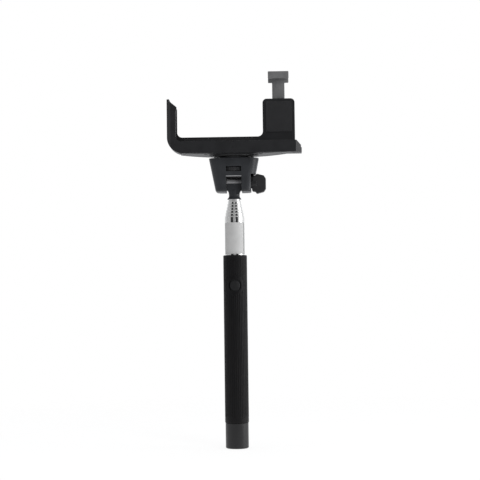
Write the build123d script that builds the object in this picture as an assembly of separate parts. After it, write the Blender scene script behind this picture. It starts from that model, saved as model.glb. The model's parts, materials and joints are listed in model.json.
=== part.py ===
from build123d import *
import os

# A telescoping selfie stick: handle, six moving pole sections, tilting head and spring-loaded
# phone cradle. Millimetres. +Z runs up the pole, the button and the phone's screen face -Y,
# and the origin is the centre of the handle's bottom face.

# ---- driving dimensions -------------------------------------------------------------------

# handle
CAP_R = 11.1
CAP_TOP = 24.3
CAP_FLOOR = 2.0
CAP_BORE_R = 10.0
CAP_SCREW_Z = 5.4
CAP_SCREW_R = 1.0
LENS_X = 7.0
BOARD_Y = -1.3
GRIP_R = 11.5
GRIP_BOTTOM = 24.4
GRIP_TOP = 185.8
GRIP_BORE_R = 9.5
BUTTON_Z = 156.5
BUTTON_R = 4.65
BUTTON_PROUD = 0.9
BEZEL_R = 7.75
BEZEL_LIP_R = 6.0
BEZEL_PROUD = 0.6
FLANGE_R = 6.3

# pole: the fixed tube, then the six moving sections, each with its own top
TUBE_R = 9.4
TUBE_WALL = 0.45
TUBE_BOTTOM = 7.7
TUBE_TOP = 223.8
WRAP_BOTTOM = 187.0
WRAP_TOP = 217.4
SECTION_R = [8.75, 8.15, 7.5, 6.9, 6.25, 5.65]
SECTION_WALL = 0.4
SECTION_STEP = 2.93
NEST_BOTTOM = 84.0
NEST_STEP = 3.0
CRIMP = 1.2
BEAD_ABOVE_FOOT = 11.7
GROOVE_DEPTH = 0.3
GROOVE_SPREAD = 14.5

# tilting head
TILT_Z = 255.1
KNUCKLE_R = 4.8
KNUCKLE_HALF = 7.15
WEAR_CAP_THICK = 1.4
WEAR_CAP_BOTTOM = 255.5
SKIRT_BOTTOM = 240.2
NECK_PLUG_BOTTOM = 228.0
NECK_PIN_Z = 233.5
NECK_PIN_R = 1.0
BOLT_R = 2.0
HEAD_BOTTOM = 247.0
HEAD_TOP = 279.6
HEAD_HALF_TOP = 24.1
HEAD_HALF_BOTTOM = 17.7
HEAD_DEPTH_TOP = 14.2
HEAD_DEPTH_BOTTOM = 12.6
HEAD_WALL = 2.0
SLOT_HALF = 7.5
SLOT_TOP = 262.5
SLOT_REAR_TOP = 261.1
SLOT_REAR_Y = 8.05
SLOT_RIB_BACK = 10.5
SLOT_RIB_BOTTOM = 260.5
PLATE_Z = (261.6, 262.45)
KNOB_RECESS_X = 16.5
KNOB_RECESS_TOP = 264.0
KNOB_RECESS_BACK = 10.3
KNOB_RECESS_REAR_TOP = 260.0
WINDOW_HALF = 7.35
WINDOW_Z = (266.7, 271.4)
WHEEL_R = 13.2
WHEEL_Z = (267.0, 271.0)
STUD_R = 3.175
STUD_TOP = 286.6

# phone cradle
TRAY_LEFT = -63.2
TRAY_RIGHT = 65.8
TRAY_FRONT = -27.0
LIP_THICK = 2.5
LIP_TOP = 294.4
TRAY_UNDER = 283.0
BASE_TOP = 284.85
FLOOR_TOP = 287.6
FLOOR_PAD = 0.8
REAR_WALL = (-12.0, -9.5)
REAR_WALL_TOP = 300.0
UPRIGHT_TOP = 335.5
UPRIGHT_LIP = 8.7
LEFT_FACET = 3.8
RIGHT_FACET = (5.6, 5.0)
END_CUT = (5.0, 5.4)
END_WALL_BACK = -22.6
UPRIGHT_WALL = 2.4
UPRIGHT_BEAK = 9.7
CORNER_R = 16.0
FLOOR_CORNER_R = 13.3
INNER_CORNER_R = 5.5
BASE_LEFT = -51.2
BASE_RIGHT = 62.8
BASE_BACK = 13.0
BASE_CORNER_R = 2.2
BASE_ARC_R = 70.0
BASE_BELLY = 0.6
BASE_BELLY_R = 2400.0
BOSS_R = 20.0
BOSS_BOTTOM = 281.4
PAD_R = 14.0
HUB_TOP = 288.8
HOUSING_X = (28.7, 59.7)
HOUSING_TOP = 336.5
HOUSING_BACK = -2.5
ARM_X = 44.2
ARM_HALF = 6.0
SPRING_OFFSET = 3.0
ARM_Y = (-8.6, -5.6)
HOOK_HALF = 9.9
HOOK_TOP = 360.5
HOOK_LIP_BOTTOM = 353.6
SPRING_R = 1.7
SPRING_WIRE = 0.3
SPRING_COILS = 11
SPRING_BOTTOM = 294.6
SPRING_TOP = 316.9

GAP = 0.05


# ---- helpers ------------------------------------------------------------------------------


def rod(radius, z0, z1, x=0.0, y=0.0):
    return Pos(x, y, (z0 + z1) / 2) * Cylinder(radius, z1 - z0)


def rod_x(radius, x0, x1, y=0.0, z=0.0):
    return Pos((x0 + x1) / 2, y, z) * Rot(0, 90, 0) * Cylinder(radius, x1 - x0)


def rod_y(radius, y0, y1, x=0.0, z=0.0):
    return Pos(x, (y0 + y1) / 2, z) * Rot(90, 0, 0) * Cylinder(radius, y1 - y0)


def block(x0, x1, y0, y1, z0, z1):
    centre = Pos((x0 + x1) / 2, (y0 + y1) / 2, (z0 + z1) / 2)
    return centre * Box(x1 - x0, y1 - y0, z1 - z0)


def shell(r_in, r_out, z0, z1):
    return rod(r_out, z0, z1) - rod(r_in, z0 - 1, z1 + 1)


def front_sheet(profile, y0, y1):
    """Extrude an (x, z) profile from y0 back to y1."""
    plane = Plane(origin=(0, y1, 0), x_dir=(1, 0, 0), z_dir=(0, -1, 0))
    return extrude(plane * profile, y1 - y0)


def outline(*points):
    """A closed (x, z) or (x, y) polygon through the points."""
    return make_face(Polyline(*points, close=True))


def section_top(i):
    return TUBE_TOP + SECTION_STEP * (i + 1) + 0.07


def section_foot(i):
    return NEST_BOTTOM + NEST_STEP * i


def groove_half(radius):
    return 0.12 * radius


def grooves(radius, half, inner):
    """Four radial slots that start at a given radius, in two pairs on opposite sides."""
    slots = Sketch()
    for side in (0, 180):
        for sign in (-1, 1):
            turn = side + sign * GROOVE_SPREAD - 90
            slot = Pos(inner + 2, 0) * Rectangle(4, 2 * half)
            slots += Rot(0, 0, turn) * slot
    return slots


def grooved_disc(radius):
    """The outside of a rolled tube: a disc with a pair of grooves front and back."""
    return Circle(radius) - grooves(radius, groove_half(radius), radius - GROOVE_DEPTH)


def ribbed_hole(radius, child_r):
    """The inside of a rolled tube: a hole with the grooves' backs standing in as ribs."""
    rib_half = groove_half(child_r) - 0.2
    return Circle(radius) - grooves(radius, rib_half, radius - GROOVE_DEPTH)


def rolled_tube(radius, wall, z0, z1, child_r):
    """A grooved tube whose mouth is crimped in over the next section, or over the neck."""
    body = Pos(0, 0, z0) * extrude(grooved_disc(radius), z1 - z0)
    bore = ribbed_hole(radius - wall, child_r)
    body -= Pos(0, 0, z0 - 1) * extrude(bore, z1 - CRIMP - z0 + 1)
    mouth = ribbed_hole(child_r + 0.06, child_r)
    body -= Pos(0, 0, z1 - CRIMP - GAP) * extrude(mouth, CRIMP + 1)
    rim = radius - 0.35
    bevel = Cone(radius + 0.35, rim, 0.7)
    keep = rod(radius + 1, z0 - 1, z1 - 0.7) + Pos(0, 0, z1 - 0.35) * bevel
    return body & keep


# ---- handle -------------------------------------------------------------------------------


def end_cap():
    cap = rod(CAP_R, 0, CAP_TOP)
    cap = fillet(cap.edges().filter_by(GeomType.CIRCLE).sort_by(Axis.Z)[0], 1.2)
    cap = fillet(cap.edges().filter_by(GeomType.CIRCLE).sort_by(Axis.Z)[-1], 0.4)
    cap -= rod(CAP_BORE_R, CAP_FLOOR, CAP_TOP + 1)
    cap -= block(-4.1, 4.1, BOARD_Y - 3.3, BOARD_Y + 0.2, -1, CAP_FLOOR + 1)
    cap -= block(-3.2, 3.2, 3.4, 5.4, -1, CAP_FLOOR + 1)
    cap -= rod(1.25, -1, CAP_FLOOR + 1, x=LENS_X)
    cap -= rod_y(CAP_SCREW_R + 0.1, CAP_R - 3, CAP_R + 1, z=CAP_SCREW_Z)
    return cap


def cap_screw():
    """Grub screw that holds the cap on the carrier's foot."""
    screw = rod_y(CAP_SCREW_R, 7.2, CAP_R - 0.25, z=CAP_SCREW_Z)
    return screw - rod_y(0.45, CAP_R - 1.2, CAP_R, z=CAP_SCREW_Z)


def electronics_carrier():
    """A trough inside the tube, with a foot in the cap that the tube stands on."""
    foot = rod(CAP_BORE_R - GAP, 3.2, TUBE_BOTTOM - GAP)
    trough = rod(TUBE_R - TUBE_WALL - GROOVE_DEPTH - GAP, 3.2, 76.0)
    body = foot + trough
    body -= block(-5.9, 5.9, -10.5, 5.6, 3.0, 74.0)
    body -= block(-4.6, 4.6, -10.5, 6.2, 3.0, 6.2)
    body -= rod_y(CAP_SCREW_R + 0.03, 7.0, 12.0, z=CAP_SCREW_Z)
    body -= rod(1.4, 3.0, 10.0, x=LENS_X)
    return body


def circuit_board():
    board = block(-5.6, 5.6, 0.0, 0.8, 6.2, 70.0)
    for x in (-4.4, 4.4):
        for z in (8.0, 68.0):
            board -= rod_y(0.7, -1, 2, x=x, z=z)
    chip = block(-2.6, 2.6, -1.0, 0.0, 40.0, 45.2)
    crystal = block(-1.6, 1.6, -0.9, 0.0, 48.0, 49.8)
    ribbon_socket = block(-3.2, 3.2, -1.3, 0.0, 12.0, 14.4)
    return Pos(0, BOARD_Y, 0) * (board + chip + crystal + ribbon_socket)


def charging_port():
    can = block(-3.85, 3.85, -3.0, -0.1, 0.5, 5.8)
    can -= block(-3.45, 3.45, -2.6, -0.5, 0.0, 5.2)
    tongue = block(-1.9, 1.9, -1.9, -1.3, 1.1, 5.3)
    return Pos(0, BOARD_Y, 0) * (can + tongue)


def power_switch():
    """Switch body: it stands on the board's back face, open below for its slider."""
    body = block(-4.4, 4.4, 2.6, 6.0, 2.2, 5.9)
    body -= block(-3.4, 3.4, 3.4, 5.4, 1.0, 4.0)
    leg = block(-3.0, 3.0, BOARD_Y + 0.85, 2.7, 6.3, 7.5) + block(-3.0, 3.0, 2.65, 3.4, 5.8, 7.5)
    return body + leg


def power_slider():
    """The slider's thumb tab, at the off end of its slot."""
    tab = block(-3.1, 0.9, 3.6, 5.2, 0.3, 3.8)
    for x in (-2.3, -1.1, 0.1):
        tab -= block(x - 0.25, x + 0.25, 3.0, 6.0, 0.0, 0.6)
    return tab


def charge_lens():
    return rod(1.15, 0.2, 3.3, x=LENS_X) + rod(1.3, 3.25, 5.5, x=LENS_X)


def battery_cell():
    cell = block(-4.7, 4.7, BOARD_Y - 5.6, BOARD_Y - 1.5, 16.0, 38.0)
    return fillet(cell.edges().filter_by(Axis.Z), 1.4)


def button_ribbon():
    """Flexible strip on the outside of the tube, from the board's socket to the dome."""
    sheet = shell(TUBE_R + 0.02, TUBE_R + 0.17, 9.0, BUTTON_Z + 5)
    narrow = block(-3.0, 3.0, -12, 0, 8.0, BUTTON_Z)
    pad = rod_y(4.6, -12, 0, z=BUTTON_Z)
    return sheet & (narrow + pad)


def button_dome():
    sheet = shell(TUBE_R + 0.19, TUBE_R + 0.39, BUTTON_Z - 5, BUTTON_Z + 5)
    return sheet & rod_y(3.0, -12, 0, z=BUTTON_Z)


def grip_sleeve():
    grip = rod(GRIP_R, GRIP_BOTTOM, GRIP_TOP)
    ends = grip.edges().filter_by(GeomType.CIRCLE).sort_by(Axis.Z)
    grip = fillet([ends[0], ends[-1]], 0.6)
    grip -= rod(GRIP_BORE_R, GRIP_BOTTOM - 1, GRIP_TOP + 1)
    grip -= block(-3.4, 3.4, -GRIP_BORE_R - 0.4, 0, GRIP_BOTTOM - 1, BUTTON_Z)
    grip -= rod_y(BEZEL_R + GAP, -GRIP_R - 1, -4, z=BUTTON_Z)
    return grip


def button_bezel():
    sheet = shell(GRIP_BORE_R + 0.15, GRIP_R + BEZEL_PROUD, BUTTON_Z - 9, BUTTON_Z + 9)
    ring = sheet & rod_y(BEZEL_R, -14, -4, z=BUTTON_Z)
    ring -= rod_y(BEZEL_LIP_R, -14, -4, z=BUTTON_Z)
    inside = rod(GRIP_R - 0.4, BUTTON_Z - 9, BUTTON_Z + 9)
    ring -= inside & rod_y(FLANGE_R + 0.2, -14, -4, z=BUTTON_Z)
    return ring


def shutter_button():
    """Cap and flange, both curved like the grip, with the flange held under the ring."""
    span = (BUTTON_Z - 9, BUTTON_Z + 9)
    back = GRIP_R - 1.15
    flange = shell(back, GRIP_R - 0.5, *span) & rod_y(FLANGE_R, -14, -4, z=BUTTON_Z)
    cap = shell(back, GRIP_R + BUTTON_PROUD, *span)
    cap &= rod_y(BUTTON_R, -14, -4, z=BUTTON_Z)
    return flange + cap


# ---- pole ---------------------------------------------------------------------------------


def outer_tube():
    return rolled_tube(TUBE_R, TUBE_WALL, TUBE_BOTTOM, TUBE_TOP, SECTION_R[0])


def tube_wrap():
    return shell(TUBE_R + 0.02, TUBE_R + 0.2, WRAP_BOTTOM, WRAP_TOP)


def base_stop():
    """Plug that stops the nested sections from dropping onto the electronics."""
    bore = TUBE_R - TUBE_WALL
    return rod(bore - GROOVE_DEPTH - GAP, 77.0, 82.5) - rod(3.0, 76, 84)


def section_tube(i):
    radius = SECTION_R[i]
    bottom = section_foot(i) + 1.25
    last = i == len(SECTION_R) - 1
    child_r = radius - SECTION_WALL - 0.25 if last else SECTION_R[i + 1]
    tube = rolled_tube(radius, SECTION_WALL, bottom, section_top(i), child_r)
    tube += section_bead(i)
    if last:
        tube -= rod_x(NECK_PIN_R + 0.02, -8, 8, z=NECK_PIN_Z)
    return tube


def section_bead(i):
    """Raised ring near the foot: it guides the section and meets the parent's mouth."""
    radius = SECTION_R[i]
    z0 = section_foot(i) + BEAD_ABOVE_FOOT
    ring = grooved_disc(parent_bore(i) - GAP) - grooves(radius, groove_half(radius), radius - 0.3)
    ring -= Circle(radius - 0.1)
    return Pos(0, 0, z0) * extrude(ring, 1.2)


def parent_bore(i):
    if i == 0:
        return TUBE_R - TUBE_WALL
    return SECTION_R[i - 1] - SECTION_WALL


def section_foot_plug(i):
    """Plastic foot: a flange that slides in the parent and a spigot up inside the tube."""
    flange_r = parent_bore(i) - GAP
    z0 = section_foot(i)
    notch = groove_half(SECTION_R[i])
    flange = Circle(flange_r) - grooves(flange_r, notch, SECTION_R[i] - GROOVE_DEPTH)
    foot = Pos(0, 0, z0) * extrude(flange, 1.2)
    foot += rod(SECTION_R[i] - SECTION_WALL - GROOVE_DEPTH - GAP, z0 + 1.1, z0 + 2.6)
    return foot - rod(2.2, z0 - 1, z0 + 4)


# ---- tilt neck ----------------------------------------------------------------------------


def tilt_neck():
    skirt = Polyline((0, SKIRT_BOTTOM), (6.75, SKIRT_BOTTOM), (6.75, SKIRT_BOTTOM + 0.5))
    flare = Spline((6.75, SKIRT_BOTTOM + 0.5), (5.7, 241.9), (5.2, 244.0))
    rest = Polyline((5.2, 244.0), (5.2, 249.0), (0, 249.0), (0, SKIRT_BOTTOM))
    turned = Plane.XZ * make_face(skirt + flare + rest)
    neck = revolve(turned, Axis.Z)
    curve = [
        Spline((5.2, 245.0), (5.6, 247.3), (KNUCKLE_HALF, 249.2), tangents=[(0, 1), (1, 0.6)]),
        Line((KNUCKLE_HALF, 249.2), (KNUCKLE_HALF, TILT_Z)),
        Line((KNUCKLE_HALF, TILT_Z), (-KNUCKLE_HALF, TILT_Z)),
        Line((-KNUCKLE_HALF, TILT_Z), (-KNUCKLE_HALF, 249.2)),
        Spline((-KNUCKLE_HALF, 249.2), (-5.6, 247.3), (-5.2, 245.0), tangents=[(1, -0.6), (0, -1)]),
        Line((-5.2, 245.0), (5.2, 245.0)),
    ]
    web = front_sheet(make_face(curve), -KNUCKLE_R, KNUCKLE_R)
    neck += web + rod_x(KNUCKLE_R, -KNUCKLE_HALF, KNUCKLE_HALF, z=TILT_Z)
    neck -= rod_x(BOLT_R + GAP, -10, 10, z=TILT_Z)
    neck -= wear_cap(GAP)
    neck -= rod(SECTION_R[-1] + 0.06, SKIRT_BOTTOM - 1, section_top(5) + 0.06)
    plug_r = SECTION_R[-1] - SECTION_WALL - GROOVE_DEPTH - 0.35
    neck += rod(plug_r, NECK_PLUG_BOTTOM, section_top(5) + 0.5)
    return neck - rod_x(NECK_PIN_R + 0.02, -8, 8, z=NECK_PIN_Z)


def wear_cap(grow=0.0):
    """Grey half-ring over the top of the knuckle, between the two friction washers."""
    inside = KNUCKLE_R - WEAR_CAP_THICK - grow
    outside = KNUCKLE_R + 4 * grow
    half = KNUCKLE_HALF + 4 * grow
    ring = rod_x(outside, -half, half, z=TILT_Z) - rod_x(inside, -half - 1, half + 1, z=TILT_Z)
    return ring & block(-20, 20, -20, 20, WEAR_CAP_BOTTOM - grow, TILT_Z + 2 * KNUCKLE_R)


def neck_pin():
    """Cross pin through the last tube and the neck's plug, flush with the tube."""
    pin = rod_x(NECK_PIN_R, -8, 8, z=NECK_PIN_Z)
    return pin & rod(SECTION_R[-1] - 0.02, NECK_PIN_Z - 2, NECK_PIN_Z + 2)


# ---- head ---------------------------------------------------------------------------------


def head_slice(half, depth, corner, z):
    return Plane.XY.offset(z) * RectangleRounded(2 * half, 2 * depth, corner)


def head_block(inset=0.0):
    """The tapered outside of the head, or the cavity inside it when inset."""
    low = head_slice(HEAD_HALF_BOTTOM - inset, HEAD_DEPTH_BOTTOM - inset, 7.5 - inset, HEAD_BOTTOM)
    high = head_slice(HEAD_HALF_TOP - inset, HEAD_DEPTH_TOP - inset, 9.0 - inset, HEAD_TOP)
    solid = loft([low.faces()[0], high.faces()[0]], ruled=True)
    if inset:
        return solid & block(-40, 40, -40, 40, HEAD_BOTTOM + inset, HEAD_TOP - inset)
    low_edges = solid.edges().group_by(Axis.Z)[0]
    return fillet(low_edges, 2.4)


def head_shell():
    body = head_block() - head_block(HEAD_WALL)
    for side in (-1, 1):
        x = sorted((side * SLOT_HALF, side * (SLOT_HALF + 2.2)))
        body += head_block() & block(*x, -20, 20, HEAD_BOTTOM, SLOT_TOP + 2)
        near, far = sorted((side * SLOT_HALF, side * 30))
        body += head_block() & rod_x(4.2, near, far, z=TILT_Z)
    body += head_block() & block(-10.2, 10.2, -20, 20, SLOT_TOP, SLOT_TOP + 2)
    body += head_block() & block(-10.2, 10.2, SLOT_REAR_Y, 20, SLOT_REAR_TOP, SLOT_TOP + 2)
    body += rod(6.2, SLOT_TOP, WHEEL_Z[0] - 0.2)
    for x, z in screw_places():
        body += head_block() & rod_y(2.3, -20, 20, x=x, z=z)
    body -= block(-SLOT_HALF, SLOT_HALF, -30, SLOT_REAR_Y, HEAD_BOTTOM - 5, SLOT_TOP)
    body -= block(-SLOT_HALF, SLOT_HALF, 0, 30, HEAD_BOTTOM - 5, SLOT_REAR_TOP)
    body -= hinge_plate(GAP)
    body -= block(-WINDOW_HALF, WINDOW_HALF, -30, 30, *WINDOW_Z)
    body -= rod(WHEEL_R + 0.3, *WINDOW_Z)
    body -= rod(STUD_R + GAP, SLOT_TOP + 2.0, HEAD_TOP + 1)
    body -= rod(5.2, HEAD_TOP - 2.4, HEAD_TOP - 1.4)
    body -= rod_x(BOLT_R + GAP, -40, 40, z=TILT_Z)
    body += block(-SLOT_HALF, SLOT_HALF, SLOT_REAR_Y, SLOT_RIB_BACK, SLOT_RIB_BOTTOM, SLOT_REAR_TOP + 0.1)
    body -= block(KNOB_RECESS_X, 40, -40, KNOB_RECESS_BACK, HEAD_BOTTOM - 1, KNOB_RECESS_TOP)
    body -= block(KNOB_RECESS_X, 40, 0, 40, HEAD_BOTTOM - 1, KNOB_RECESS_REAR_TOP)
    body -= nut_pocket()
    for x, z in screw_places():
        body -= rod_y(1.05, -8.0, 20, x=x, z=z)
        body -= rod_y(2.0, 9.5, 20, x=x, z=z)
    return body


def hinge_plate(grow=0.0):
    """Steel plate across the top of the slot; its front edge is seen in the slot."""
    z = (PLATE_Z[0] - grow, PLATE_Z[1] + grow)
    half = SLOT_HALF + 1.5 + grow
    wide = block(-half, half, -10.5 - grow, SLOT_REAR_Y - GAP + grow, *z)
    return wide + block(-SLOT_HALF + GAP, SLOT_HALF - GAP, -13.2, -10, *z)


def screw_places():
    return [(x, z) for x, z in ((-17.6, 275.0), (17.6, 275.0), (-13.6, 262.2), (13.6, 262.2))]


def nut_pocket():
    hexagon = Plane.YZ.offset(-30) * RegularPolygon(4.1, 6)
    return Pos(0, 0, TILT_Z) * extrude(hexagon, 30 - 15.0)


def head_front_shell():
    return head_shell() & block(-40, 40, -40, -0.02, HEAD_BOTTOM - 1, HEAD_TOP + 1)


def head_rear_shell():
    return head_shell() & block(-40, 40, 0.02, 40, HEAD_BOTTOM - 1, HEAD_TOP + 1)


def head_screws():
    screws = []
    for x, z in screw_places():
        screw = rod_y(1.0, -7.5, 9.6, x=x, z=z) + rod_y(1.9, 9.6, 11.0, x=x, z=z)
        screw -= rod_y(0.35, 10.4, 12, x=x, z=z)
        screws.append(screw)
    return Compound(children=screws)


def friction_washers():
    rings = []
    for side in (-1, 1):
        x = sorted((side * (KNUCKLE_HALF + 0.03), side * (SLOT_HALF - 0.03)))
        rings.append(rod_x(4.2, *x, z=TILT_Z) - rod_x(BOLT_R + GAP, -20, 20, z=TILT_Z))
    return Compound(children=rings)


def tilt_nut():
    hexagon = Plane.YZ.offset(-18.2) * RegularPolygon(4.0, 6)
    nut = Pos(0, 0, TILT_Z) * extrude(hexagon, 3.1)
    return nut - rod_x(BOLT_R + GAP, -40, 0, z=TILT_Z)


def knob_profile():
    """The tilt knob seen from the front: a collar, then a paddle that narrows outwards."""
    return outline(
        (17.2, TILT_Z - 5.0),
        (17.7, TILT_Z - 7.3),
        (21.1, TILT_Z - 8.0),
        (21.7, TILT_Z - 9.9),
        (29.0, TILT_Z - 7.9),
        (30.9, TILT_Z - 5.0),
        (30.9, TILT_Z + 4.8),
        (29.0, TILT_Z + 7.9),
        (21.7, TILT_Z + 9.9),
        (21.1, TILT_Z + 8.0),
        (17.7, TILT_Z + 7.3),
        (17.2, TILT_Z + 5.0),
    )


def tilt_knob():
    paddle = front_sheet(knob_profile(), -3.6, 3.6)
    paddle = fillet(paddle.edges().filter_by(Axis.Y), 1.2)
    paddle = fillet(paddle.faces().sort_by(Axis.Y)[0].edges(), 1.0)
    paddle = fillet(paddle.faces().sort_by(Axis.Y)[-1].edges(), 1.0)
    knob = paddle + rod_x(4.2, KNOB_RECESS_X + 0.15, 22.0, z=TILT_Z)
    knob -= rod_x(BOLT_R, 10, 28, z=TILT_Z)
    return knob - rod_x(3.4, 22.9, 26.1, z=TILT_Z)


def tilt_bolt():
    bolt = rod_x(BOLT_R - 0.03, -17.8, 24.0, z=TILT_Z)
    return bolt + rod_x(3.3, 23.0, 26.0, z=TILT_Z)


def thumbwheel():
    wheel = rod(WHEEL_R, *WHEEL_Z)
    edges = wheel.edges().filter_by(GeomType.CIRCLE)
    wheel = chamfer(edges, 0.4)
    teeth = 48
    cutters = []
    for k in range(teeth):
        turn = Rot(0, 0, 360.0 * k / teeth)
        cutters.append(turn * Pos(WHEEL_R + 0.25, 0, 0) * rod(0.6, WHEEL_Z[0] - 1, WHEEL_Z[1] + 1))
    wheel -= cutters
    return wheel - rod(STUD_R - 0.1, WHEEL_Z[0] - 1, WHEEL_Z[1] + 1)


def mount_stud():
    """1/4 inch screw, pressed into the thumbwheel, with a collar that holds it in the head."""
    stud = rod(STUD_R - 0.12, SLOT_TOP + 2.1, STUD_TOP)
    return chamfer(stud.edges().filter_by(GeomType.CIRCLE), 0.4)


def stud_clip():
    return rod(5.0, HEAD_TOP - 2.3, HEAD_TOP - 1.5) - rod(STUD_R - 0.1, HEAD_TOP - 3, HEAD_TOP)


def swivel_pad():
    return shell(7.0, PAD_R, HEAD_TOP + 0.03, BOSS_BOTTOM - 0.03)


# ---- cradle -------------------------------------------------------------------------------


def base_plan(inset=0.0):
    """D-shaped plan of the cradle's base: straight along the front, one arc at the back."""
    centre_y = BASE_BACK - BASE_ARC_R
    disc = Pos(0, centre_y) * Circle(BASE_ARC_R - inset)
    front = TRAY_FRONT + LIP_THICK + 0.1 + inset
    left = BASE_LEFT + inset
    right = BASE_RIGHT - inset
    area = Pos((left + right) / 2, front + 50) * Rectangle(right - left, 100)
    return disc & area


def cradle_base():
    plate = extrude(base_plan(), BASE_TOP - TRAY_UNDER + BASE_BELLY)
    plate = Pos(0, 0, TRAY_UNDER - BASE_BELLY) * plate
    plate &= rod_y(BASE_BELLY_R, -40, 40, z=TRAY_UNDER - BASE_BELLY + BASE_BELLY_R)
    plate &= front_sheet(base_side(), -40, 40)
    boss = rod(BOSS_R, BOSS_BOTTOM, BASE_TOP)
    boss = chamfer(boss.edges().filter_by(GeomType.CIRCLE).sort_by(Axis.Z)[0], 0.6)
    hub = rod(BOSS_R - 1.0, TRAY_UNDER, HUB_TOP)
    hub = fillet(hub.edges().filter_by(GeomType.CIRCLE).sort_by(Axis.Z)[-1], 1.5)
    hub &= block(-40, 40, REAR_WALL[1] + 0.1, 40, TRAY_UNDER, HUB_TOP + 1)
    body = plate + boss + hub
    body -= rod(5.5, BOSS_BOTTOM - 1, STUD_TOP + 0.6)
    for x, y in base_screw_places():
        body -= rod(1.3, BOSS_BOTTOM - 1, HUB_TOP, x=x, y=y)
        body -= rod(2.3, TRAY_UNDER - 1, TRAY_UNDER + 1.0, x=x, y=y)
    return body


def base_side():
    """Front view of the base: a flat strip whose lower corners are rounded."""
    x0, x1 = BASE_LEFT, BASE_RIGHT - 0.9
    z0, z1 = TRAY_UNDER - BASE_BELLY - 0.1, BASE_TOP + 0.1
    strip = Pos((x0 + x1) / 2, (z0 + z1) / 2) * Rectangle(x1 - x0, z1 - z0)
    return fillet(strip.vertices().sort_by(Axis.Y)[:2], BASE_CORNER_R)


def base_screw_places():
    return [(x, -17.0) for x in (-48.0, -26.0, 26.0, 48.0)]


def base_screws():
    screws = []
    for x, y in base_screw_places():
        screw = rod(2.1, TRAY_UNDER + 0.1, TRAY_UNDER + 0.95, x=x, y=y)
        screw += rod(1.0, TRAY_UNDER + 0.9, FLOOR_TOP - 0.7, x=x, y=y)
        screw -= rod(0.4, TRAY_UNDER, TRAY_UNDER + 0.6, x=x, y=y)
        screws.append(screw)
    return Compound(children=screws)


def thread_insert():
    """Brass insert for the 1/4 inch screw."""
    insert = rod(5.45, BOSS_BOTTOM + 0.2, STUD_TOP + 0.5)
    return insert - rod(STUD_R + GAP, BOSS_BOTTOM - 1, STUD_TOP + 2)


def tray_front():
    """The front lip and the left upright's lip, one L-shaped plate seen from the front."""
    left, right = TRAY_LEFT, TRAY_RIGHT
    inner = left + UPRIGHT_LIP
    beak = left + UPRIGHT_BEAK
    plate = outline(
        (left, TRAY_UNDER),
        (left, UPRIGHT_TOP),
        (beak, UPRIGHT_TOP - 8.0),
        (beak, UPRIGHT_TOP - 9.4),
        (inner, UPRIGHT_TOP - 12.8),
        (inner, LIP_TOP),
        (right, LIP_TOP),
        (right, TRAY_UNDER),
    )
    plate = fillet(plate.vertices().sort_by_distance((left, TRAY_UNDER, 0))[0], CORNER_R)
    plate = fillet(plate.vertices().sort_by_distance((inner, LIP_TOP, 0))[0], INNER_CORNER_R)
    plate = fillet(plate.vertices().sort_by_distance((right, TRAY_UNDER, 0))[0], 3.0)
    return plate


def tray_band():
    """The floor and the left wall: the strip just inside the front plate's outline."""
    left, right = TRAY_LEFT, TRAY_RIGHT
    inner = left + UPRIGHT_WALL
    band = outline(
        (left, TRAY_UNDER),
        (left, UPRIGHT_TOP),
        (inner, UPRIGHT_TOP),
        (inner, FLOOR_TOP),
        (right, FLOOR_TOP),
        (right, TRAY_UNDER),
    )
    band = fillet(band.vertices().sort_by_distance((left, TRAY_UNDER, 0))[0], CORNER_R)
    return fillet(band.vertices().sort_by_distance((inner, FLOOR_TOP, 0))[0], FLOOR_CORNER_R)


def cradle_tray():
    lip = front_sheet(tray_front(), TRAY_FRONT, TRAY_FRONT + LIP_THICK)
    band = front_sheet(tray_band(), TRAY_FRONT + LIP_THICK - 0.1, REAR_WALL[1])
    rear = front_sheet(tray_rear(), *REAR_WALL)
    body = lip + band + rear + end_wall()
    body -= Pos(0, 0, TRAY_UNDER - 1) * extrude(base_plan(-0.1), 1.0 + 1.9)
    body -= Pos(0, 0, TRAY_UNDER - 1) * extrude(end_facets(), 60)
    body -= front_sheet(end_slope(), TRAY_FRONT - 1, END_WALL_BACK + 1)
    body -= block(-0.6, 0.6, TRAY_FRONT - 1, TRAY_FRONT + 0.6, LIP_TOP - 1.3, LIP_TOP + 1)
    body -= rod_y(0.6, TRAY_FRONT - 1, TRAY_FRONT + 0.6, z=LIP_TOP - 5.9)
    for x, z in housing_screw_places():
        body += rod_y(1.3, REAR_WALL[1] - 0.1, HOUSING_BACK - 2.1, x=x, z=z)
        body -= rod_y(0.73, REAR_WALL[1] - 0.5, HOUSING_BACK, x=x, z=z)
    for x in spring_lines():
        body += rod_y(0.8, REAR_WALL[1] - 0.1, ARM_Y[1] + 1.0, x=x, z=SPRING_BOTTOM - 1.2)
    for x, y in base_screw_places():
        body -= rod(1.03, TRAY_UNDER, FLOOR_TOP - 0.6, x=x, y=y)
    return body


def end_wall():
    """The lip's return at the right end, behind the slanted facet."""
    front, right = TRAY_FRONT, TRAY_RIGHT
    plan = outline(
        (right - 8.0, front + LIP_THICK - 0.1),
        (right - 8.0, front),
        (right, front),
        (right, END_WALL_BACK),
        (right - 3.2, END_WALL_BACK),
        (right - 5.6, front + LIP_THICK - 0.1),
    )
    return Pos(0, 0, TRAY_UNDER) * extrude(plan, LIP_TOP - TRAY_UNDER)


def end_slope():
    """What is cut off the top of the lip and its return at the right end."""
    across, down = END_CUT
    x, z = TRAY_RIGHT, LIP_TOP
    return outline((x - across - 1, z + 1), (x + 1, z + 1), (x + 1, z - down - 1), (x - across, z))


def end_facets():
    """Plan of what the bevels take off the tray's two front corners."""
    left, right, front = TRAY_LEFT, TRAY_RIGHT, TRAY_FRONT
    across, back = RIGHT_FACET
    corner = outline((left, front), (left + LEFT_FACET, front), (left, front + LEFT_FACET))
    return corner + outline((right, front), (right - across, front), (right, front + back))


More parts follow.
